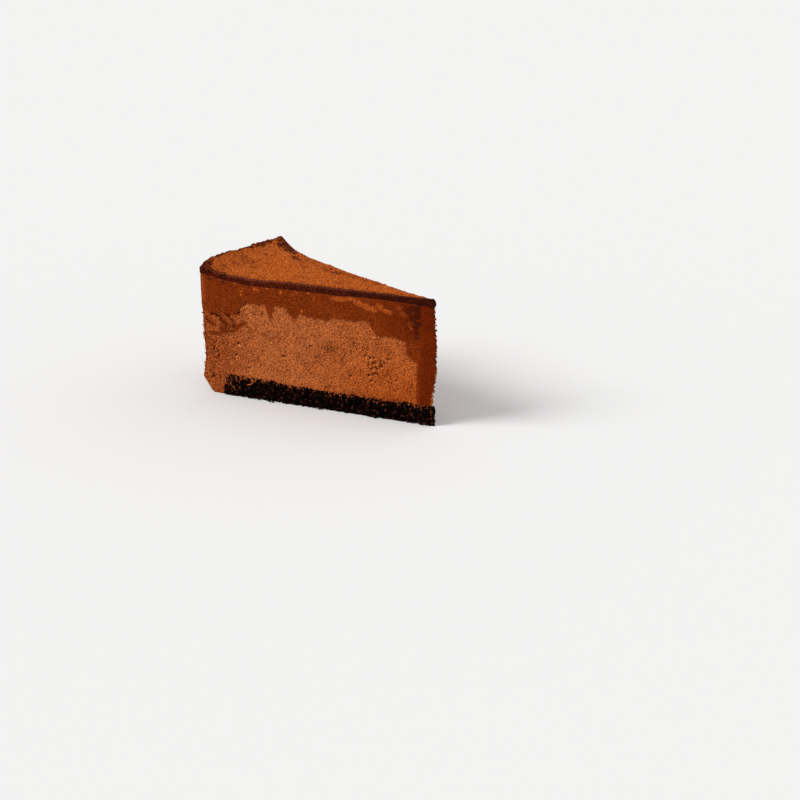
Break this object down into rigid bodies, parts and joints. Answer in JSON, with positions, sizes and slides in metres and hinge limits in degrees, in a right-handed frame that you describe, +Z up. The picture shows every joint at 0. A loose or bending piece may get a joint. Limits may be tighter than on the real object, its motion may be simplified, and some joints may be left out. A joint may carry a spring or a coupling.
{
  "type": "slice of chocolate mousse cake",
  "caption": "Wedge of chocolate mousse cake on a dark cookie crust, topped with ganache that rises to a rim and dusted with cocoa.",
  "frame": {"origin": "on the surface the slice rests on, under the middle of its bounding box", "axes": "+X along the slice towards its tip, +Z up, the cut face that the picture shows looks towards -Y"},
  "size_m": [0.1158, 0.0538, 0.0621],
  "materials": {
    "cookie_crust": "moist, crumbly, nearly black",
    "mousse": "matt, finely porous",
    "smeared_mousse": "smooth, faint satin sheen",
    "ganache": "dark, softly glossy at the cut",
    "cocoa": "dry powder"
  },
  "bodies": {
    "root": {"cookie_crust": "cookie_crust", "mousse": "mousse", "smeared_mousse": "smeared_mousse", "ganache": "ganache", "cocoa_dusting": "cocoa"}
  },
  "joints": []
}
